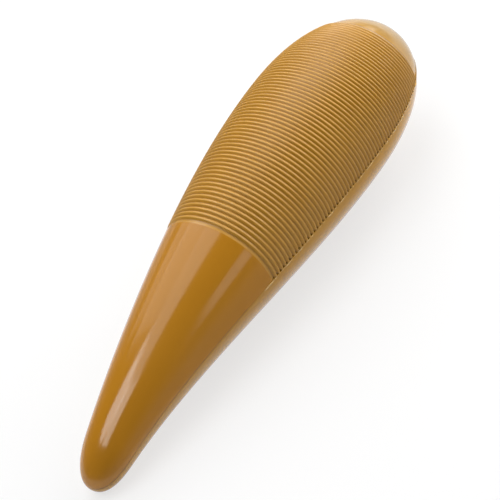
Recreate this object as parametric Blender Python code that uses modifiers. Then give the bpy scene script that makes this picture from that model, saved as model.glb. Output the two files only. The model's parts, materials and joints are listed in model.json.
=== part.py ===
"""A hand-held guiro: a hollow, pear-shaped scraper moulded in two plastic half shells.

The front shell carries ring grooves that a stick is drawn across. The back shell is smooth and has a
lip all round its rim, which locates it inside the front shell. The body bows forward along its length,
and lies on its back, touching at the handle end and at the head.
"""

import math

import bmesh
import bpy
import numpy as np
from mathutils import Matrix, Vector
from mathutils.geometry import interpolate_bezier

# Outline, measured along the straight line from the handle end to the top of the head, in metres
LENGTH = 0.283
HEAD_DIAMETER = 0.07526
WIDEST_BELOW_TOP = 0.0707
GRIP_DIAMETER = 0.02465
GRIP_FROM_END = 0.0182
GRIP_TAPER = math.radians(8.7)

# How far each stretch of the outline runs on before it turns
HANDLE_END_FULLNESS = 0.0056
GRIP_FULLNESS = 0.0132
TAPER_REACH = 0.067
BELLY_REACH = 0.061
CROWN_REACH = 0.0488
TOP_FULLNESS = 0.0194

# Centre line: two pulls that bow the body forward, each as distance from the handle end and height
BOW_NEAR_HANDLE = (0.0125, 0.0001)
BOW_NEAR_HEAD = (0.0513, 0.0290)

# Ring grooves of the front shell, with more room between them towards the handle
GROOVE_COUNT = 63
SMOOTH_HANDLE = 0.12083
SMOOTH_CROWN = 0.02354
PITCH_GROWTH = 1.128
NECK_LEDGE = 0.0017
GROOVE_DEPTH = 0.00042
RIDGE_RISE = 0.00026
RIDGE_FLANK = 0.30

# Mouldings
WALL = 0.0025
LIP_THICKNESS = 0.0011
LIP_HEIGHT = 0.0020
LIP_ROOT = 0.0012
SHELL_GAP = 0.0003

# Facets: an odd count in each half turn puts a flat at the middle of the back, wide enough to lie on
HALF_TURN_STEPS = 15
SPAN_STEPS = (5, 9, 8)
INNER_SPAN_STEPS = (4, 7, 6)
FINE_STEPS = 80

PLASTIC_COLOUR = (0.46, 0.20, 0.028, 1.0)
PLASTIC_ROUGHNESS = 0.24

# How far a cutter reaches past the body, what counts as one point, and what counts as a sharp edge
MARGIN = 0.02
SAME_POINT = 0.000001
SHARP_EDGE = math.radians(25)


def collection_named(name):
    """A new collection under the scene."""
    collection = bpy.data.collections.new(name)
    bpy.context.scene.collection.children.link(collection)
    return collection


def plastic(name):
    """Glossy tan plastic, coloured right through."""
    material = bpy.data.materials.new(name)
    material.use_nodes = True
    shader = material.node_tree.nodes["Principled BSDF"]
    shader.inputs["Base Color"].default_value = PLASTIC_COLOUR
    shader.inputs["Roughness"].default_value = PLASTIC_ROUGHNESS
    shader.inputs["Metallic"].default_value = 0.0
    material.diffuse_color = PLASTIC_COLOUR
    return material


def outline_spans():
    """The outline's three spans, as Bezier corners: handle end to grip, grip to widest, widest to top."""
    along = Vector((1.0, 0.0))
    across = Vector((0.0, 1.0))
    taper = Vector((math.cos(GRIP_TAPER), math.sin(GRIP_TAPER)))
    end = Vector((0.0, 0.0))
    grip = Vector((GRIP_FROM_END, GRIP_DIAMETER / 2))
    widest = Vector((LENGTH - WIDEST_BELOW_TOP, HEAD_DIAMETER / 2))
    top = Vector((LENGTH, 0.0))
    return (
        (end, end + across * HANDLE_END_FULLNESS, grip - taper * GRIP_FULLNESS, grip),
        (grip, grip + taper * TAPER_REACH, widest - along * BELLY_REACH, widest),
        (widest, widest + along * CROWN_REACH, top + across * TOP_FULLNESS, top),
    )


def follow(spans, steps):
    """Points along Bezier spans, each span cut into its own number of steps."""
    points = [spans[0][0].copy()]
    for span, count in zip(spans, steps):
        points += interpolate_bezier(*span, count + 1)[1:]
    return np.array([(point.x, point.y) for point in points])


def inset(points, depth):
    """The outline moved inwards by depth, square to itself."""
    slope = np.gradient(points, axis=0)
    slope /= np.linalg.norm(slope, axis=1)[:, None]
    slope[0] = (0.0, 1.0)
    slope[-1] = (0.0, -1.0)
    moved = points + depth * np.stack([slope[:, 1], -slope[:, 0]], axis=1)
    moved[[0, -1], 1] = 0.0
    return moved


def inner_outline(depth):
    """A smooth outline that lies a set depth under the skin."""
    fine = inset(follow(outline_spans(), [FINE_STEPS] * 3), depth)
    picks = [0]
    for count in INNER_SPAN_STEPS:
        picks += [picks[-1] + round(FINE_STEPS * (step + 1) / count) for step in range(count)]
    return fine[picks]


def groove_places():
    """Distance of each groove's floor from the handle end."""
    gaps = np.linspace(PITCH_GROWTH, 1.0, GROOVE_COUNT - 1)
    run = np.concatenate([[0.0], np.cumsum(gaps)])
    zone = LENGTH - SMOOTH_CROWN - SMOOTH_HANDLE
    return SMOOTH_HANDLE + run * zone / run[-1]


def ridged_outline():
    """The outline with its grooves. Between two floors stands one ridge, a flat crest on sloping flanks.

    A gentler ledge leads from the smooth handle down to the first floor.
    """
    fine = follow(outline_spans(), [FINE_STEPS] * 3)
    plain = follow(outline_spans(), SPAN_STEPS)
    floors = groove_places()
    shoulder = RIDGE_FLANK * (floors[-1] - floors[-2])
    points = [(floors[0] - NECK_LEDGE, 0.0)]
    for floor, following in zip(floors, floors[1:]):
        pitch = following - floor
        points.append((floor, -GROOVE_DEPTH))
        points.append((floor + RIDGE_FLANK * pitch, RIDGE_RISE))
        points.append((following - RIDGE_FLANK * pitch, RIDGE_RISE))
    points.append((floors[-1], -GROOVE_DEPTH))
    points.append((floors[-1] + shoulder, 0.0))
    grooved = np.array([(x, np.interp(x, fine[:, 0], fine[:, 1]) + rise) for x, rise in points])
    before = plain[plain[:, 0] < grooved[0, 0] - shoulder]
    after = plain[plain[:, 0] > grooved[-1, 0] + shoulder]
    return np.concatenate([before, grooved, after])


def turned(name, outline, collection):
    """A solid turned about the X axis from an outline that starts and ends on it."""
    mesh = bpy.data.meshes.new(name)
    shape = bmesh.new()
    corners = [shape.verts.new((x, radius, 0.0)) for x, radius in outline[::-1]]
    for first, second in zip(corners, corners[1:]):
        shape.edges.new((first, second))
    shape.to_mesh(mesh)
    shape.free()
    solid = bpy.data.objects.new(name, mesh)
    collection.objects.link(solid)
    screw = solid.modifiers.new("turn", "SCREW")
    screw.axis = "X"
    screw.steps = 2 * HALF_TURN_STEPS
    screw.render_steps = screw.steps
    screw.use_merge_vertices = True
    screw.merge_threshold = SAME_POINT
    return solid


def slab(name, low, high, collection):
    """A block that covers the whole length and width between two heights."""
    bpy.ops.mesh.primitive_cube_add(size=1.0)
    block = bpy.context.object
    block.name = name
    size = Matrix.Diagonal((LENGTH + 2 * MARGIN, HEAD_DIAMETER + 2 * MARGIN, high - low, 1.0))
    block.data.transform(Matrix.Translation((LENGTH / 2, 0.0, (low + high) / 2)) @ size)
    for owner in list(block.users_collection):
        owner.objects.unlink(block)
    collection.objects.link(block)
    return block


def combine(solid, other, operation):
    """One exact Boolean step."""
    step = solid.modifiers.new(other.name, "BOOLEAN")
    step.operation = operation
    step.solver = "EXACT"
    step.object = other


def set_aside(cutters):
    """Cutters are guides only."""
    for cutter in cutters:
        cutter.hide_render = True
        cutter.display_type = "WIRE"


def bow_at(distance):
    """Height of the centre line above the straight line between the two ends."""
    start = Vector((0.0, 0.0))
    finish = Vector((LENGTH, 0.0))
    span = (start, Vector(BOW_NEAR_HANDLE), Vector(BOW_NEAR_HEAD), finish)
    line = follow([span], [FINE_STEPS])
    return np.interp(distance, line[:, 0], line[:, 1])


def bowed(solid):
    """Fixes the solid's shape in triangles and lifts every section to the bowed centre line."""
    graph = bpy.context.evaluated_depsgraph_get()
    mesh = bpy.data.meshes.new_from_object(solid.evaluated_get(graph))
    shape = bmesh.new()
    shape.from_mesh(mesh)
    bmesh.ops.triangulate(shape, faces=shape.faces)
    heights = bow_at([vertex.co.x for vertex in shape.verts])
    for vertex, height in zip(shape.verts, heights):
        vertex.co.z += height
    shape.to_mesh(mesh)
    shape.free()
    solid.modifiers.clear()
    solid.data = mesh
    mesh.name = solid.name


def finish(solid, parent):
    """Smooth shading with sharp groove and rim edges, its own plastic, and its place under the body."""
    solid.data.shade_smooth()
    solid.data.set_sharp_from_angle(angle=SHARP_EDGE)
    solid.data.materials.clear()
    solid.data.materials.append(plastic(solid.name + "_plastic"))
    solid.parent = parent


def lying_slope(corners):
    """Slope of the line that touches the handle and the head from below."""
    handle = corners[corners[:, 0] < LENGTH / 3]
    head = corners[corners[:, 0] > LENGTH / 2]
    rise = head[None, :, 2] - handle[:, None, 2]
    run = head[None, :, 0] - handle[:, None, 0]
    return (rise / run).min(axis=1).max()


def corners_of(solid):
    """The solid's corners as rows."""
    return np.array([vertex.co[:] for vertex in solid.data.vertices])


def lay_down(body, solids):
    """Turns the body onto its back and sets the middle of its footprint at the origin, at floor level."""
    tilt = math.atan(lying_slope(corners_of(solids[-1])))
    body.rotation_euler = (0.0, tilt, 0.0)
    everything = np.concatenate([corners_of(solid) for solid in solids])
    across = everything[:, 0] * math.cos(tilt) + everything[:, 2] * math.sin(tilt)
    upward = everything[:, 2] * math.cos(tilt) - everything[:, 0] * math.sin(tilt)
    body.location = (-(across.min() + across.max()) / 2, 0.0, -upward.min())


def main():
    for leftover in list(bpy.data.objects):
        bpy.data.objects.remove(leftover)
    parts = collection_named("guiro")
    cutters = collection_named("cutters")

    # Hollow, and the space that the lip stands in with its clearance
    hollow = turned("hollow", inner_outline(WALL), cutters)
    lip_room = turned("lip_room", inner_outline(WALL - LIP_THICKNESS - SHELL_GAP), cutters)
    lip_body = turned("lip_body", inner_outline(WALL - LIP_THICKNESS), cutters)
    high = HEAD_DIAMETER / 2 + MARGIN
    upper = slab("upper", SHELL_GAP / 2, high, cutters)
    lower = slab("lower", -high, -SHELL_GAP / 2, cutters)
    room_height = slab("room_height", -LIP_ROOT, LIP_HEIGHT + SHELL_GAP, cutters)
    lip_height = slab("lip_height", -LIP_ROOT, LIP_HEIGHT, cutters)
    combine(lip_room, room_height, "INTERSECT")
    combine(lip_body, lip_height, "INTERSECT")

    # Grooved front half, rebated inside its rim
    front = turned("grooved_front_shell", ridged_outline(), parts)
    combine(front, upper, "INTERSECT")
    combine(front, lip_room, "DIFFERENCE")
    combine(front, hollow, "DIFFERENCE")

    # Smooth back half with its locating lip
    back = turned("smooth_back_shell", follow(outline_spans(), SPAN_STEPS), parts)
    combine(back, lower, "INTERSECT")
    combine(back, lip_body, "UNION")
    combine(back, hollow, "DIFFERENCE")
    set_aside(cutters.objects)

    body = bpy.data.objects.new("guiro_body", None)
    parts.objects.link(body)
    for shell in (front, back):
        bowed(shell)
        finish(shell, body)
    lay_down(body, (front, back))


main()
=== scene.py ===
"""The looks of a hand-held guiro: two glossy tan half shells, the front one ridged, on a pale floor."""

import json
import math

import bpy
import numpy as np
from mathutils import Euler, Matrix, Vector
from mathutils.geometry import interpolate_bezier

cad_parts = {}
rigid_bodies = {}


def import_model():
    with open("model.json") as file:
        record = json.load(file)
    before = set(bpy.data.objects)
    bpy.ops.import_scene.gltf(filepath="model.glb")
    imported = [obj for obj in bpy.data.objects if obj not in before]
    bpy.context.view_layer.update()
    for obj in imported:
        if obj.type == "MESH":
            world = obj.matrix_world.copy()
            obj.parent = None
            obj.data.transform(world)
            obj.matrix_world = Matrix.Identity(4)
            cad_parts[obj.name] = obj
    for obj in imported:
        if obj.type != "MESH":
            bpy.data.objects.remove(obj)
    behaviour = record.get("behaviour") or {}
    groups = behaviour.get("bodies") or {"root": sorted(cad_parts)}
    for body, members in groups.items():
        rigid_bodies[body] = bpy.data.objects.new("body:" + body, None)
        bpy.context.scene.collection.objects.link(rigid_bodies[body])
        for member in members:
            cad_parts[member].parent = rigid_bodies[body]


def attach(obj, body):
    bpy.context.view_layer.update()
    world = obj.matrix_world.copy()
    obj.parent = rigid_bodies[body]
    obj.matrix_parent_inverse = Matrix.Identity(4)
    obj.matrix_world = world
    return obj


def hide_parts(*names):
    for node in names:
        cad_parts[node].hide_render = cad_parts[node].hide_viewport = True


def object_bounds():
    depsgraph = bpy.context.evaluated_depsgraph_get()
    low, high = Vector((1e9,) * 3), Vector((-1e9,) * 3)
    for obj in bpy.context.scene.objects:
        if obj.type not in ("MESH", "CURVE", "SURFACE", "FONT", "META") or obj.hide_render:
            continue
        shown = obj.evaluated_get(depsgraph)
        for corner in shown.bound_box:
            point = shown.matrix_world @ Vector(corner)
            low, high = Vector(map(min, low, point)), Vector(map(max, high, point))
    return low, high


for leftover in list(bpy.data.objects):
    bpy.data.objects.remove(leftover)
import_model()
cad_low, cad_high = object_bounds()

# Outline, along the straight line from the handle end to the top of the head, in metres
LENGTH = 0.283
HEAD_DIAMETER = 0.07526
WIDEST_BELOW_TOP = 0.0707
GRIP_DIAMETER = 0.02465
GRIP_FROM_END = 0.0182
GRIP_TAPER = math.radians(8.7)
HANDLE_END_FULLNESS = 0.0056
GRIP_FULLNESS = 0.0132
TAPER_REACH = 0.067
BELLY_REACH = 0.061
CROWN_REACH = 0.0488
TOP_FULLNESS = 0.0194
BOW_NEAR_HANDLE = (0.0125, 0.0001)
BOW_NEAR_HEAD = (0.0513, 0.0290)

# The solids' flats stand nearer the centre line than their corners by this factor, and the round skin follows
# the flats
SKIN_SCALE = math.cos(math.pi / 30)

# Ridges and grooves of the front shell. The crown's edge climbs over the given share of the last pitch
GROOVE_COUNT = 63
SMOOTH_HANDLE = 0.12083
SMOOTH_CROWN = 0.02354
PITCH_GROWTH = 1.128
GROOVE_DEPTH = 0.00042
RIDGE_RISE = 0.00026
RIDGE_FULLNESS = 1.5
NECK_LEDGE = 0.0017
NECK_ROUNDING = 0.08
PLAIN_HEIGHT = 0.6
CROWN_CLIMB = 0.5
CROWN_SINK = 0.00036
CROWN_RECOVERY = 0.009

# Where the ridged look fades in, as shares of the neck ledge, and out, from the last groove's floor
RIDGED_FROM = (1.3, 0.7)
RIDGED_TO = (-0.0002, 0.0008)
GROOVED_MARGIN = 0.001

# The dark line at the crown's border
BORDER_SHADE = 0.55
BORDER_PAST = 0.0004
BORDER_REACH = 0.00042

# Parting line between the shells: wall, lip and gap, and the dark line along the handle's seam
WALL = 0.0025
LIP_THICKNESS = 0.0011
LIP_HEIGHT = 0.0020
LIP_CLEARANCE = 0.0003
SEAM_HALF_GAP = 0.00003
SEAM_EDGE = 0.00010
POLE_FADE = 0.004
SEAM_SHADE = 0.6
SEAM_SHADE_REACH = 0.0003
SEAM_SHADE_ENDS = (0.100, 0.106)

# Pits where the grooves run out at the rim: depth, reach, how narrow they are, and how they vary
PIT_DEPTH = 0.00034
PIT_REACH = 0.0009
PIT_NARROWNESS = 1.5
PIT_SIZE = 0.75
PIT_VARIATION = 0.45
PIT_STRETCH = 0.6
PIT_SEED = 2.0

# Moulding flash along the back rim, from a little below the grooves to their last few. Its raggedness is a
# level and two wanders, each with a share, a stretch and a seed
FLASH_HEIGHT = 0.00036
FLASH_REACH = 0.00060
FLASH_BELOW_GROOVES = 0.0075
FLASH_START = 0.001
FLASH_END = 0.004
FLASH_TAIL = 0.002
FLASH_LEVEL = 0.35
FLASH_FINE = (0.9, 1.0, 1.0)
FLASH_BROAD = (1.1, 0.37, 4.0)
FLASH_MOST = 1.2

# The step beside the crown: height, reach, and where it rises, is full, falls and is gone
STEP_HEIGHT = 0.00028
STEP_REACH = 0.0022
STEP_ZONE = (0.248, 0.256, 0.270, 0.276)

# Raggedness along the seam: wave lengths and their shares, and how much the seed shifts them
WAVES = ((0.0031, 1.0), (0.0017, 0.8), (0.0009, 0.7), (0.0113, 0.6))
SEED_SHIFT = 7.3

# Where the painted pale sheen, which stands in for the crown's reflection of bright surroundings, rises
# towards the top
PALE_SHEEN_ZONE = (0.2530, 0.2720)

# Fineness of the meshes. Rows crowd towards both ends. The rows that lead in are counted in neck ledges, and
# those that lead out in last pitches
FINE_STEPS = 300
ROWS_PER_RIDGE = 8
HANDLE_ROWS = (22, 46)
CROWN_ROWS = 42
BACK_ROWS = 520
END_CROWDING = 1.4
TOP_CROWDING = 1.3
LEAD_IN = np.array([1.8, 1.5, 1.3, 1.2, 1.1, 1.0, 0.9, 0.8, 0.6, 0.4, 0.2, 0.1])
LEAD_OUT = np.array([0.12, 0.24, 0.36, 0.48, 0.58, 0.75, 1.0])
BROAD_COLUMNS = 76
RIM_STEPS = np.array([0.0, 0.10, 0.20, 0.32, 0.46, 0.65, 0.9, 1.3, 1.9, 2.7]) / 1000
RIM_ANGLE_MOST = 0.35
RIM_TURNS = np.radians([30.0, 60.0, 90.0])
INNER_COLUMNS = 16
WELD_REACH = 0.0000005
SHARP_FROM = math.radians(50)
TINY = 1e-9

# Turns points of one side into those of the other, and of the front rim into those of the back rim
MIRROR = np.array([1.0, -1.0, 1.0])
UPSIDE_DOWN = np.array([1.0, 1.0, -1.0])

# The skin is eased inwards over this distance from each face of the solids' box that it would pass
EASE_REACH = 0.02

# The body's place in the frame: lying on its back
REST_TILT = -0.10717436
REST_PLACE = (-0.14069191, 0.0, 0.00686880)

# Colours of the plastic
BODY_DARK = (0.475, 0.233, 0.018, 1.0)
BODY_LIGHT = (0.510, 0.258, 0.023, 1.0)
# The smooth handle and neck are darker and more orange than the ridged part: partly the plastic's own tone,
# partly painted shade
NECK_DARK = (0.455, 0.192, 0.012, 1.0)
NECK_LIGHT = (0.485, 0.210, 0.016, 1.0)
MOTTLE = (0.430, 0.192, 0.014, 1.0)
SPECK = (0.230, 0.085, 0.010, 1.0)
# The pale colour is a painted sheen on the crown, standing in for its reflection of bright surroundings
PALE_SHEEN = (0.350, 0.250, 0.120, 1.0)
# The crest colour is lighter: partly worn plastic, partly painted highlight on the crests
RUBBED_AND_LIT = (0.605, 0.325, 0.055, 1.0)
# The dark valley colour is painted shade in the grooves
PAINTED_VALLEY_SHADE = (0.255, 0.112, 0.030, 1.0)
SHADE = (0.040, 0.014, 0.003, 1.0)
# The flash colour is paler than the body: partly the flash's own plastic, partly a painted glint along the
# rim
FLASH_AND_GLINT = (0.800, 0.520, 0.160, 1.0)
PALE_SHEEN_SHARE = 0.75
SHADE_SHARE = 0.85
REFRACTION = 1.5

# Patterns in the plastic: scale, detail and roughness of the noise, how it is stretched along the body, the
# span of the noise that counts, and what that span becomes
ALL_WAYS = (1.0, 1.0, 1.0)
FLOW_PATTERN = (22.0, 3.0, 0.55, (0.45, 1.0, 1.0), (0.3, 0.7), (0.0, 1.0))
MOTTLE_PATTERN = (420.0, 2.0, 0.5, ALL_WAYS, (0.35, 0.75), (0.0, 0.35))
SPECK_PATTERN = (2600.0, 1.0, 0.5, ALL_WAYS, (0.72, 0.80), (0.0, 0.35))
GLOSS_PATTERN = (60.0, 4.0, 0.6, ALL_WAYS, (0.3, 0.75), (0.11, 0.19))
RUBBED_AND_LIT_PATTERN = (90.0, 3.0, 0.5, ALL_WAYS, (0.3, 0.7), (0.2, 0.7))
PAINTED_VALLEY_SHADE_PATTERN = (130.0, 2.0, 0.5, ALL_WAYS, (0.3, 0.8), (0.3, 0.65))
PEEL_NOISE = (800.0, 2.0, 0.5, ALL_WAYS)
SCRATCH_NOISE = (1500.0, 3.0, 0.6, (0.03, 1.0, 1.0))

# Which heights of the ridges are worn and painted lighter as highlight, and which are painted darker as
# shade, from 0 at the floors to 1 at the crests
RUBBED_AND_LIT_HEIGHTS = ((0.75, 1.0), (0.0, 1.0))
PAINTED_SHADE_HEIGHTS = ((0.0, 0.35), (1.0, 0.0))

# Added roughness, and the strength of the fine relief
RIDGED_DULLNESS = 0.25
RUBBED_DULLNESS = 0.1
SHADE_DULLNESS = 0.4
PEEL_SHARE = 0.7
SCRATCH_SHARE = 0.3
RELIEF_STRENGTH = 0.06
RELIEF_DEPTH = 0.00012

# The camera, solved from the outline and the rings
CAMERA_PLACE = (-0.4191459, -0.3860866, 0.5775939)
CAMERA_TURN = tuple(math.radians(angle) for angle in (44.471716, 11.145622, -58.421076))
CAMERA_LENS = 121.6311
CAMERA_SENSOR = 36.0

# Soft lamps: name, place, width and height, power in watts. Each faces the body
LAMP_AIM = (0.0, 0.0, 0.045)
LAMPS = (
    ("overhead", (0.0, 0.205, 1.45), (1.0, 0.68), 4.3),
    ("left_wall", (0.141, 0.869, 1.133), (0.7, 0.92), 3.3),
    ("far_left", (0.276, 1.243, 0.628), (0.6, 0.5), 0.9),
    ("behind_left", (0.743, 0.762, 0.955), (0.9, 0.8), 8.2),
    ("behind", (1.198, 0.585, 0.471), (0.9, 0.6), 3.6),
    ("behind_right", (1.202, -0.206, 0.733), (0.9, 0.8), 14.4),
    ("right", (1.126, -0.723, 0.458), (0.6, 0.5), 5.2),
    ("strip", (0.131, -1.246, 0.670), (0.4, 0.40), 0.70),
    ("front_left", (-0.71, 0.01, 1.252), (0.5, 0.5), 3.5),
    ("left", (-0.585, 0.479, 1.223), (0.5, 0.5), 4.1),
)

# The studio's grey at the horizon and overhead, and how high up it has changed from one to the other
HORIZON_GREY = 0.20
ZENITH_GREY = 0.02
ZENITH_FROM = 0.45

# The background's white beyond the floor, where the camera sees it
BACKDROP_WHITE = 1.0

# The floor, just below the body, and its paint
FLOOR_SIZE = 6.0
FLOOR_HEIGHT = -0.0002
FLOOR_PAINT = (0.80, 0.80, 0.80, 1.0)
FLOOR_ROUGHNESS = 0.9
WHITE = (1.0, 1.0, 1.0, 1.0)

# How much of the floor's own white the camera sees near the body, and where that starts to rise and is full
FLOOR_WHITE = 0.7
SHADOWS_END = 0.5
ALL_WHITE_FROM = 1.1

# How bright the floor's white is in reflections: close to the body's line and away from it, each as a
# distance and a brightness, and past the crown. On the body's left the bright strip is wider by this factor
MIRRORED_NEAR = (0.024, 0.98)
MIRRORED_FAR = (0.059, 0.08)
MIRRORED_PAST = 0.64
PAST_FROM = 0.12
PAST_FULL = 0.24
LEFT_WIDENING = 2.9


# Shape


def outline():
    """Fine points of the outline, and the direction square to it, as rows of (along, out)."""
    along = Vector((1.0, 0.0))
    across = Vector((0.0, 1.0))
    taper = Vector((math.cos(GRIP_TAPER), math.sin(GRIP_TAPER)))
    end = Vector((0.0, 0.0))
    grip = Vector((GRIP_FROM_END, GRIP_DIAMETER / 2))
    widest = Vector((LENGTH - WIDEST_BELOW_TOP, HEAD_DIAMETER / 2))
    top = Vector((LENGTH, 0.0))
    spans = (
        (end, end + across * HANDLE_END_FULLNESS, grip - taper * GRIP_FULLNESS, grip),
        (grip, grip + taper * TAPER_REACH, widest - along * BELLY_REACH, widest),
        (widest, widest + along * CROWN_REACH, top + across * TOP_FULLNESS, top),
    )
    points = [end]
    for span in spans:
        points += interpolate_bezier(*span, FINE_STEPS + 1)[1:]
    points = np.array([point[:] for point in points])
    points[:, 1] *= SKIN_SCALE
    slope = np.gradient(points, axis=0)
    slope /= np.linalg.norm(slope, axis=1)[:, None]
    slope[0] = (0.0, 1.0)
    slope[-1] = (0.0, -1.0)
    return points, np.stack([-slope[:, 1], slope[:, 0]], axis=1)


SKIN, OUTWARD = outline()


def at(rows, raised):
    """The outline at fractional rows, moved out by raised (in where negative)."""
    index = np.arange(len(SKIN))
    point = np.stack([np.interp(rows, index, SKIN[:, axis]) for axis in (0, 1)], axis=1)
    out = np.stack([np.interp(rows, index, OUTWARD[:, axis]) for axis in (0, 1)], axis=1)
    out /= np.linalg.norm(out, axis=1)[:, None]
    moved = point + np.asarray(raised)[..., None] * out
    moved[:, 1] = np.maximum(moved[:, 1], 0.0)
    moved[np.isin(rows, (0, len(SKIN) - 1)), 1] = 0.0
    return moved


def row_at(distance):
    """The fractional outline row at a distance along the straight line."""
    return np.interp(distance, SKIN[:, 0], np.arange(len(SKIN)))


def groove_places():
    """Distance of each groove's floor from the handle end."""
    gaps = np.linspace(PITCH_GROWTH, 1.0, GROOVE_COUNT - 1)
    run = np.concatenate([[0.0], np.cumsum(gaps)])
    zone = LENGTH - SMOOTH_CROWN - SMOOTH_HANDLE
    return SMOOTH_HANDLE + run * zone / run[-1]


def smooth(value, low, high):
    """A soft step from 0 at low to 1 at high."""
    t = np.clip((value - low) / (high - low), 0.0, 1.0)
    return t * t * (3 - 2 * t)


def rise_at(distance):
    """Height of the front skin over the plain outline: neck ledge, ridges and grooves, crown."""
    floors = groove_places()
    last_pitch = floors[-1] - floors[-2]
    turn = np.interp(distance, floors, np.arange(GROOVE_COUNT))
    wave = np.abs(np.sin(math.pi * turn)) ** RIDGE_FULLNESS
    ridged = -GROOVE_DEPTH + (GROOVE_DEPTH + RIDGE_RISE) * wave
    inward = 1 - (floors[0] - distance) / NECK_LEDGE
    neck = -GROOVE_DEPTH * (inward + np.hypot(inward, NECK_ROUNDING)) / 2
    after = (distance - floors[-1]) / (CROWN_CLIMB * last_pitch)
    climb = np.sin(np.clip(after, 0.0, 1.0) * math.pi / 2) ** RIDGE_FULLNESS
    sink = CROWN_SINK * (1 - smooth(distance - floors[-1], CROWN_CLIMB * last_pitch, CROWN_RECOVERY))
    crown = -GROOVE_DEPTH + (GROOVE_DEPTH - sink) * climb
    return np.where(distance < floors[0], neck, np.where(distance > floors[-1], crown, ridged))


def front_rows():
    """Outline rows of the front shell, close together on the ridges."""
    floors = groove_places()
    last_pitch = floors[-1] - floors[-2]
    run = np.arange((GROOVE_COUNT - 1) * ROWS_PER_RIDGE + 1) / ROWS_PER_RIDGE
    ridged = np.interp(run, np.arange(GROOVE_COUNT), floors)
    lead_in = floors[0] - NECK_LEDGE * LEAD_IN
    lead_out = floors[-1] + last_pitch * LEAD_OUT
    end = np.linspace(0, 1, HANDLE_ROWS[0], endpoint=False) ** END_CROWDING * FINE_STEPS
    start = row_at(lead_in[0])
    handle = np.linspace(FINE_STEPS, start, HANDLE_ROWS[1], endpoint=False)
    zone = row_at(np.concatenate([lead_in, ridged, lead_out]))
    crown = 1 - np.linspace(1, 0, CROWN_ROWS + 1)[1:] ** TOP_CROWDING
    crown = zone[-1] + crown * (len(SKIN) - 1 - zone[-1])
    return np.concatenate([end, handle, zone, crown])


def back_rows():
    """Outline rows of the back shell, closer together at both ends."""
    share = 0.5 - 0.5 * np.cos(np.linspace(0, math.pi, BACK_ROWS))
    return row_at(share * LENGTH)


def sweep(start, radius):
    """Angles from rim to rim, close together near both, and how far each is from its rim along the skin."""
    near = RIM_STEPS / np.maximum(radius, TINY)[:, None]
    near *= np.minimum(1.0, RIM_ANGLE_MOST / near[:, -1:])
    share = np.linspace(0.0, 1.0, BROAD_COLUMNS // 2 + 1)[1:]
    broad = near[:, -1:] + (math.pi / 2 - start[:, None] - near[:, -1:]) * share
    half = np.concatenate([near, broad], axis=1)
    away = half * radius[:, None]
    angle = start[:, None] + half
    angle = np.concatenate([angle, math.pi - angle[:, -2::-1]], axis=1)
    return angle, np.concatenate([away, away[:, -2::-1]], axis=1)


def ring(radius, angle):
    """Points on circles, one circle a row, as (side, up)."""
    return np.stack([radius * np.cos(angle), radius * np.sin(angle)], axis=2)


def on_ring(along, points):
    """Adds the distance along to points given as (side, up)."""
    where = np.broadcast_to(along[:, None, None], (*points.shape[:2], 1))
    return np.concatenate([where, points], axis=2)


def angle_at(height, radius):
    """The angle at which a circle reaches a height."""
    return np.arcsin(np.clip(height / np.maximum(radius, TINY), 0.0, 1.0))


def rim(side, gap, edge):
    """The rounded corner from the skin to the flat of the rim, as offsets in and up."""
    inward = edge[:, None] * (1 - np.cos(RIM_TURNS))
    height = gap[:, None] + edge[:, None] * (1 - np.sin(RIM_TURNS))
    along = np.broadcast_to(side[:, None, 0], inward.shape)
    out = np.maximum(side[:, None, 1] - inward, 0.0)
    return np.stack([along, out, height], axis=2)


def wander(distance, seed):
    """A small steady raggedness between -1 and 1."""
    total = 0.0
    for length, share in WAVES:
        total = total + share * np.sin(2 * math.pi * distance / length + seed * SEED_SHIFT * share)
    return total / sum(share for _, share in WAVES)


def over_rim(loops, skin, corner):
    """A value for each point of the loops: given ones on the outer skin and its rim corners, and 0 inside."""
    values = np.zeros(loops.shape[:2])
    values[:, : skin.shape[1]] = skin
    values[:, skin.shape[1] : skin.shape[1] + len(RIM_TURNS)] = corner
    values[:, -len(RIM_TURNS) :] = corner
    return values


def along_rows(loops, values):
    """One value for each row, given to every point of its loop."""
    return np.broadcast_to(values[:, None], loops.shape[:2])


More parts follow.
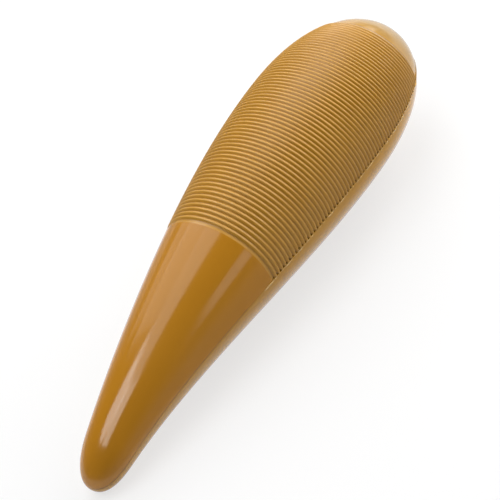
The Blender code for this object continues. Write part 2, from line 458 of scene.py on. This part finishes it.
def front_loops():
    """One closed loop of points for each row of the front shell, with the values that its plastic goes by."""
    rows = front_rows()
    distance = at(rows, np.zeros(len(rows)))[:, 0]
    skin = at(rows, rise_at(distance))
    room = at(rows, np.full(len(rows), -(WALL - LIP_THICKNESS - LIP_CLEARANCE)))
    inner = at(rows, np.full(len(rows), -WALL))
    fade = np.clip(skin[:, 1] / POLE_FADE, 0.0, 1.0)
    gap = SEAM_HALF_GAP * fade
    edge = SEAM_EDGE * fade
    ledge = (LIP_HEIGHT + LIP_CLEARANCE) * np.clip(inner[:, 1] / POLE_FADE, 0.0, 1.0)
    crest = (rise_at(distance) + GROOVE_DEPTH) / (GROOVE_DEPTH + RIDGE_RISE)
    floors = groove_places()
    grooved = (distance > floors[0] - GROOVED_MARGIN) & (distance < floors[-1] + GROOVED_MARGIN)
    hollow = np.where(grooved, np.clip(1 - crest, 0.0, 1.0) ** PIT_NARROWNESS, 0.0)
    hollow = hollow * (PIT_SIZE + PIT_VARIATION * wander(distance * PIT_STRETCH, PIT_SEED))
    start = angle_at(gap + edge, skin[:, 1])
    angle, away = sweep(start, skin[:, 1])
    pit = hollow[:, None] * np.exp(-((away / PIT_REACH) ** 2))
    outer = on_ring(skin[:, 0], ring(skin[:, 1:] - PIT_DEPTH * pit, angle))
    side = np.stack([skin[:, 0], (skin[:, 1] - PIT_DEPTH * pit[:, 0]) * np.cos(start)], axis=1)
    corner = rim(side, gap, edge)
    step_out = np.stack([room[:, 0], room[:, 1], gap], axis=1)[:, None]
    turn = angle_at(ledge, room[:, 1])
    step_up = np.stack([room[:, 0], room[:, 1] * np.cos(turn), ledge], axis=1)[:, None]
    right = np.concatenate([corner, step_out, step_up], axis=1)
    start = angle_at(ledge, inner[:, 1])
    across = (start + (math.pi - 2 * start) * np.linspace(1, 0, INNER_COLUMNS + 1)[:, None]).T
    inside = on_ring(inner[:, 0], ring(inner[:, 1:], across))
    loops = np.concatenate([outer, right * MIRROR, inside, right[:, ::-1]], axis=1)
    border = BORDER_SHADE * np.exp(-(((distance - floors[-1] - BORDER_PAST) / BORDER_REACH) ** 2))
    seam = SEAM_SHADE * (1 - smooth(distance, *SEAM_SHADE_ENDS))[:, None]
    seam = seam * np.exp(-((away / SEAM_SHADE_REACH) ** 2))
    dark = np.maximum(np.maximum(pit, border[:, None]), seam)
    past_neck = smooth(distance, *(floors[0] - share * NECK_LEDGE for share in RIDGED_FROM))
    past_ridges = smooth(distance, *(floors[-1] + further for further in RIDGED_TO))
    return loops, {
        "crest": along_rows(loops, np.where(grooved, crest, PLAIN_HEIGHT)),
        "pit": over_rim(loops, dark, pit[:, :1]),
        "neck": along_rows(loops, 1 - past_neck),
        "ridged": along_rows(loops, past_neck * (1 - past_ridges)),
        "pale": pale_sheen_at(loops),
    }


def pale_sheen_at(loops):
    """How strongly the pale sheen is painted, from none at the crown's border to full near the top."""
    return smooth(loops[:, :, 0], *PALE_SHEEN_ZONE)


def flash_at(distance):
    """Height of the ragged moulding flash along the back shell's rim, as a share."""
    floors = groove_places()
    begin = floors[0] - FLASH_BELOW_GROOVES
    zone = smooth(distance, begin, begin + FLASH_START)
    zone = zone * (1 - smooth(distance, floors[-1] - FLASH_END, floors[-1]))
    tail = 1 - smooth(distance, floors[0] - FLASH_TAIL, floors[0])
    rough = FLASH_LEVEL
    for share, stretch, seed in (FLASH_FINE, FLASH_BROAD):
        rough = rough + share * wander(distance * stretch, seed)
    return zone * np.clip(np.maximum(rough, tail), 0.0, FLASH_MOST)


def step_at(distance):
    """How far the back shell stands out beside the crown, as a share."""
    rising, full, falling, gone = STEP_ZONE
    return smooth(distance, rising, full) * (1 - smooth(distance, falling, gone))


def back_loops():
    """One closed loop of points for each row of the back shell, with its lip."""
    rows = back_rows()
    skin = at(rows, np.zeros(len(rows)))
    lip = at(rows, np.full(len(rows), -(WALL - LIP_THICKNESS)))
    inner = at(rows, np.full(len(rows), -WALL))
    fade = np.clip(skin[:, 1] / POLE_FADE, 0.0, 1.0)
    gap = SEAM_HALF_GAP * fade
    edge = SEAM_EDGE * fade
    height = LIP_HEIGHT * np.clip(inner[:, 1] / POLE_FADE, 0.0, 1.0)
    start = angle_at(gap + edge, skin[:, 1])
    angle, away = sweep(start, skin[:, 1])
    flash = flash_at(skin[:, 0])[:, None] * np.exp(-((away / FLASH_REACH) ** 2))
    step = step_at(skin[:, 0])[:, None] * np.exp(-((away / STEP_REACH) ** 2))
    raised = skin[:, 1:] + FLASH_HEIGHT * flash + STEP_HEIGHT * step
    outer = on_ring(skin[:, 0], ring(raised, -angle))
    side = np.stack([skin[:, 0], raised[:, 0] * np.cos(start)], axis=1)
    corner = rim(side, gap, edge) * UPSIDE_DOWN
    step_in = np.stack([lip[:, 0], lip[:, 1], -gap], axis=1)[:, None]
    turn = angle_at(height, lip[:, 1])
    lip_top = np.stack([lip[:, 0], lip[:, 1] * np.cos(turn), height], axis=1)[:, None]
    turn = angle_at(height, inner[:, 1])
    lip_in = np.stack([inner[:, 0], inner[:, 1] * np.cos(turn), height], axis=1)[:, None]
    right = np.concatenate([corner, step_in, lip_top, lip_in], axis=1)
    across = np.broadcast_to(np.linspace(-math.pi, 0.0, INNER_COLUMNS + 1), (BACK_ROWS, INNER_COLUMNS + 1))
    inside = on_ring(inner[:, 0], ring(inner[:, 1:], across))
    loops = np.concatenate([outer, right * MIRROR, inside, right[:, ::-1]], axis=1)
    return loops, {"pale": pale_sheen_at(loops), "flash": over_rim(loops, flash, flash[:, :1])}


def bow_at(distance):
    """Height of the centre line above the straight line between the two ends."""
    ends = (Vector((0.0, 0.0)), Vector((LENGTH, 0.0)))
    line = interpolate_bezier(ends[0], Vector(BOW_NEAR_HANDLE), Vector(BOW_NEAR_HEAD), ends[1], FINE_STEPS)
    line = np.array([point[:] for point in line])
    return np.interp(distance, line[:, 0], line[:, 1])


def placed(points):
    """Straight-body points bowed, tilted and moved to where the body lies."""
    moved = points.copy()
    moved[:, 2] += bow_at(points[:, 0])
    turn = Matrix.Translation(REST_PLACE) @ Euler((0.0, REST_TILT, 0.0)).to_matrix().to_4x4()
    turn = np.array(turn)
    return moved @ turn[:3, :3].T + turn[:3, 3]


def eased(points, proud):
    """Points moved inwards near each face of the solids' box, by as much as the skin would stand past it."""
    moved = points.copy()
    for face, sign, extra in ((cad_low, -1.0, proud[0]), (cad_high, 1.0, proud[1])):
        near = np.clip(1 + sign * (points - np.array(face)) / EASE_REACH, 0.0, None)
        moved -= sign * extra * near**2
    return moved


def stands_proud(points):
    """How far points stand past each low and each high face of the solids' box."""
    below = np.maximum(np.array(cad_low) - points.min(axis=0), 0.0)
    above = np.maximum(points.max(axis=0) - np.array(cad_high), 0.0)
    return below, above


def turns_inward(loops):
    """Whether the loops run the way round that would turn the faces inwards."""
    middle = loops[len(loops) // 2, :, 1:]
    return np.cross(middle, np.roll(middle, -1, axis=0)).sum() > 0


def shell(name, loops, marks, proud):
    """A closed mesh from loops of points, one loop a row, with named values at its points."""
    count, around = loops.shape[:2]
    corners = np.arange(count * around).reshape(count, around)
    ahead = np.roll(corners, -1, axis=1)
    faces = np.stack([corners[:-1], corners[1:], ahead[1:], ahead[:-1]], axis=2).reshape(-1, 4)
    if turns_inward(loops):
        faces = faces[:, ::-1]
    mesh = bpy.data.meshes.new(name)
    mesh.from_pydata(eased(placed(loops.reshape(-1, 3)), proud).tolist(), [], faces.tolist())
    for mark, values in marks.items():
        layer = mesh.attributes.new(mark, "FLOAT", "POINT")
        layer.data.foreach_set("value", values.reshape(-1).astype(np.float32))
    piece = bpy.data.objects.new(name, mesh)
    bpy.context.scene.collection.objects.link(piece)
    weld = piece.modifiers.new("weld_poles", "WELD")
    weld.merge_threshold = WELD_REACH
    graph = bpy.context.evaluated_depsgraph_get()
    piece.data = bpy.data.meshes.new_from_object(piece.evaluated_get(graph))
    piece.modifiers.clear()
    piece.data.name = name
    piece.data.shade_smooth()
    piece.data.set_sharp_from_angle(angle=SHARP_FROM)
    return piece


# Plastic


def reckon(tree, operation, first, second):
    """One sum in a node tree, of two values or sockets."""
    node = tree.nodes.new("ShaderNodeMath")
    node.operation = operation
    for socket, value in zip(node.inputs, (first, second)):
        if isinstance(value, float):
            socket.default_value = value
        else:
            tree.links.new(value, socket)
    return node.outputs[0]


def soft_step(tree, source, first, second):
    """A soft change in a node tree from one (position, value) to another."""
    node = tree.nodes.new("ShaderNodeMapRange")
    node.interpolation_type = "SMOOTHSTEP"
    for socket, value in zip(node.inputs[1:5], (first[0], second[0], first[1], second[1])):
        socket.default_value = value
    tree.links.new(source, node.inputs["Value"])
    return node.outputs["Result"]


def plastic(name, grooved):
    """Glossy tan plastic with moulding flow and a painted pale sheen towards the top; on the grooved shell,
    crests worn and painted lighter as highlight and valleys painted darker as shade.
    """
    material = bpy.data.materials.new(name)
    material.use_nodes = True
    tree = material.node_tree
    shader = tree.nodes["Principled BSDF"]
    shader.inputs["IOR"].default_value = REFRACTION
    shader.inputs["Metallic"].default_value = 0.0
    place = tree.nodes.new("ShaderNodeTexCoord").outputs["Object"]

    def noise(scale, detail, rough, stretch):
        squeeze = tree.nodes.new("ShaderNodeMapping")
        squeeze.inputs["Scale"].default_value = stretch
        tree.links.new(place, squeeze.inputs["Vector"])
        node = tree.nodes.new("ShaderNodeTexNoise")
        node.inputs["Scale"].default_value = scale
        node.inputs["Detail"].default_value = detail
        node.inputs["Roughness"].default_value = rough
        tree.links.new(squeeze.outputs["Vector"], node.inputs["Vector"])
        return node.outputs["Fac"]

    def remap(source, span, becomes):
        node = tree.nodes.new("ShaderNodeMapRange")
        for socket, value in zip(node.inputs[1:5], (*span, *becomes)):
            socket.default_value = value
        tree.links.new(source, node.inputs["Value"])
        return node.outputs["Result"]

    def pattern(scale, detail, rough, stretch, span, becomes):
        return remap(noise(scale, detail, rough, stretch), span, becomes)

    def mix(factor, first, second):
        node = tree.nodes.new("ShaderNodeMix")
        node.data_type = "RGBA"
        tree.links.new(factor, node.inputs["Factor"])
        for socket, value in ((node.inputs[6], first), (node.inputs[7], second)):
            if isinstance(value, tuple):
                socket.default_value = value
            else:
                tree.links.new(value, socket)
        return node.outputs[2]

    def mark(name):
        node = tree.nodes.new("ShaderNodeAttribute")
        node.attribute_name = name
        return node.outputs["Fac"]

    def times(first, second):
        return reckon(tree, "MULTIPLY", first, second)

    def plus(first, second):
        return reckon(tree, "ADD", first, second)

    # Colour: slow flow streaks along the body, a fine mottle, and a painted pale sheen towards the top
    flow = pattern(*FLOW_PATTERN)
    colour = mix(flow, BODY_DARK, BODY_LIGHT)
    colour = mix(pattern(*MOTTLE_PATTERN), colour, MOTTLE)
    colour = mix(pattern(*SPECK_PATTERN), colour, SPECK)
    # Painted pale sheen towards the top, standing in for the crown's reflection of bright surroundings
    colour = mix(times(mark("pale"), PALE_SHEEN_SHARE), colour, PALE_SHEEN)
    gloss = pattern(*GLOSS_PATTERN)
    if grooved:
        # The smooth handle and neck take a darker, more orange colour: partly own tone, partly painted shade
        colour = mix(mark("neck"), colour, mix(flow, NECK_DARK, NECK_LIGHT))
        height = mark("crest")
        # Crests painted lighter: partly worn plastic, partly painted highlight
        rubbed_and_lit = times(remap(height, *RUBBED_AND_LIT_HEIGHTS), pattern(*RUBBED_AND_LIT_PATTERN))
        colour = mix(rubbed_and_lit, colour, RUBBED_AND_LIT)
        # Valleys painted darker: painted shade in the grooves
        valley_shade = times(remap(height, *PAINTED_SHADE_HEIGHTS), pattern(*PAINTED_VALLEY_SHADE_PATTERN))
        colour = mix(valley_shade, colour, PAINTED_VALLEY_SHADE)
        colour = mix(times(mark("pit"), SHADE_SHARE), colour, SHADE)
        gloss = plus(gloss, times(mark("ridged"), RIDGED_DULLNESS))
        gloss = plus(gloss, times(rubbed_and_lit, RUBBED_DULLNESS))
        gloss = plus(gloss, times(mark("pit"), SHADE_DULLNESS))
    else:
        # Paler flash along the rim: partly its own plastic, partly a painted glint
        colour = mix(mark("flash"), colour, FLASH_AND_GLINT)
    tree.links.new(colour, shader.inputs["Base Color"])
    tree.links.new(gloss, shader.inputs["Roughness"])

    # Relief: a faint orange peel and hairline scratches along the body
    relief = plus(times(noise(*PEEL_NOISE), PEEL_SHARE), times(noise(*SCRATCH_NOISE), SCRATCH_SHARE))
    bump = tree.nodes.new("ShaderNodeBump")
    bump.inputs["Strength"].default_value = RELIEF_STRENGTH
    bump.inputs["Distance"].default_value = RELIEF_DEPTH
    tree.links.new(relief, bump.inputs["Height"])
    tree.links.new(bump.outputs["Normal"], shader.inputs["Normal"])
    return material


def dress(piece, node, material):
    """The piece stands for its solid, rides on the one body and takes its plastic."""
    piece.data.materials.clear()
    piece.data.materials.append(material)
    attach(piece, "root")
    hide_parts(node)


front_form = front_loops()
back_form = back_loops()
every_point = np.concatenate([placed(form[0].reshape(-1, 3)) for form in (front_form, back_form)])
proud = stands_proud(every_point)
front = shell("ridged_front", *front_form, proud)
dress(front, "grooved_front_shell", plastic("tan_plastic_ridged", True))
back = shell("smooth_back", *back_form, proud)
dress(back, "smooth_back_shell", plastic("tan_plastic_smooth", False))


# Floor, light and camera


def floor():
    """A wide pale floor that keeps a soft shadow."""
    bpy.ops.mesh.primitive_plane_add(size=FLOOR_SIZE, location=(0.0, 0.0, FLOOR_HEIGHT))
    plane = bpy.context.object
    plane.name = "pale_floor"
    material = bpy.data.materials.new("pale_floor")
    material.use_nodes = True
    tree = material.node_tree
    paint = tree.nodes["Principled BSDF"]
    paint.inputs["Base Color"].default_value = FLOOR_PAINT
    paint.inputs["Roughness"].default_value = FLOOR_ROUGHNESS
    glow = tree.nodes.new("ShaderNodeEmission")
    glow.inputs["Color"].default_value = WHITE
    rays = tree.nodes.new("ShaderNodeLightPath")
    place = tree.nodes.new("ShaderNodeSeparateXYZ")
    coordinates = tree.nodes.new("ShaderNodeTexCoord").outputs["Object"]
    tree.links.new(coordinates, place.inputs[0])
    right = reckon(tree, "MULTIPLY", place.outputs["Y"], -1.0)
    left = reckon(tree, "MULTIPLY", place.outputs["Y"], 1 / LEFT_WIDENING)
    aside = reckon(tree, "MAXIMUM", right, left)
    beside = soft_step(tree, aside, MIRRORED_NEAR, MIRRORED_FAR)
    past = soft_step(tree, place.outputs["X"], (PAST_FROM, 0.0), (PAST_FULL, MIRRORED_PAST))
    short = soft_step(tree, place.outputs["X"], (PAST_FROM, 1.0), (PAST_FULL, 0.0))
    bright = reckon(tree, "ADD", reckon(tree, "MULTIPLY", beside, short), past)
    mirrored = reckon(tree, "MULTIPLY", rays.outputs["Is Glossy Ray"], bright)
    tree.links.new(reckon(tree, "MAXIMUM", rays.outputs["Is Camera Ray"], mirrored), glow.inputs["Strength"])
    reach = tree.nodes.new("ShaderNodeVectorMath")
    reach.operation = "LENGTH"
    tree.links.new(coordinates, reach.inputs[0])
    white = soft_step(tree, reach.outputs["Value"], (SHADOWS_END, FLOOR_WHITE), (ALL_WHITE_FROM, 1.0))
    seen = reckon(tree, "MULTIPLY", rays.outputs["Is Camera Ray"], white)
    mirror = reckon(tree, "MULTIPLY", rays.outputs["Is Glossy Ray"], FLOOR_WHITE)
    blend = tree.nodes.new("ShaderNodeMixShader")
    tree.links.new(reckon(tree, "MAXIMUM", seen, mirror), blend.inputs["Fac"])
    tree.links.new(paint.outputs["BSDF"], blend.inputs[1])
    tree.links.new(glow.outputs["Emission"], blend.inputs[2])
    tree.links.new(blend.outputs["Shader"], tree.nodes["Material Output"].inputs["Surface"])
    plane.data.materials.append(material)


def softbox(name, place, size, power):
    """A rectangular lamp that faces the body."""
    lamp = bpy.data.lights.new(name, "AREA")
    lamp.shape = "RECTANGLE"
    lamp.size, lamp.size_y = size
    lamp.energy = power
    holder = bpy.data.objects.new(name, lamp)
    bpy.context.scene.collection.objects.link(holder)
    holder.location = place
    holder.rotation_euler = (Vector(LAMP_AIM) - Vector(place)).to_track_quat("-Z", "Y").to_euler()


def surroundings():
    """A studio that is pale to the camera, and grey at the horizon and dark overhead to the body."""
    world = bpy.data.worlds.new("studio")
    bpy.context.scene.world = world
    world.use_nodes = True
    tree = world.node_tree
    backdrop = tree.nodes["Background"]
    backdrop.inputs["Color"].default_value = WHITE
    direction = tree.nodes.new("ShaderNodeTexCoord").outputs["Generated"]
    parts = tree.nodes.new("ShaderNodeSeparateXYZ")
    tree.links.new(direction, parts.inputs[0])
    grey = soft_step(tree, parts.outputs["Z"], (0.0, HORIZON_GREY), (ZENITH_FROM, ZENITH_GREY))
    rays = tree.nodes.new("ShaderNodeLightPath")
    seen = reckon(tree, "MULTIPLY", rays.outputs["Is Camera Ray"], BACKDROP_WHITE)
    tree.links.new(reckon(tree, "MAXIMUM", seen, grey), backdrop.inputs["Strength"])


def camera():
    """The photograph's viewpoint."""
    lens = bpy.data.cameras.new("camera")
    lens.sensor_width = CAMERA_SENSOR
    lens.lens = CAMERA_LENS
    holder = bpy.data.objects.new("camera", lens)
    bpy.context.scene.collection.objects.link(holder)
    holder.location = CAMERA_PLACE
    holder.rotation_euler = CAMERA_TURN
    bpy.context.scene.camera = holder


floor()
surroundings()
for lamp in LAMPS:
    softbox(*lamp)
camera()
bpy.context.scene.view_settings.view_transform = "Standard"
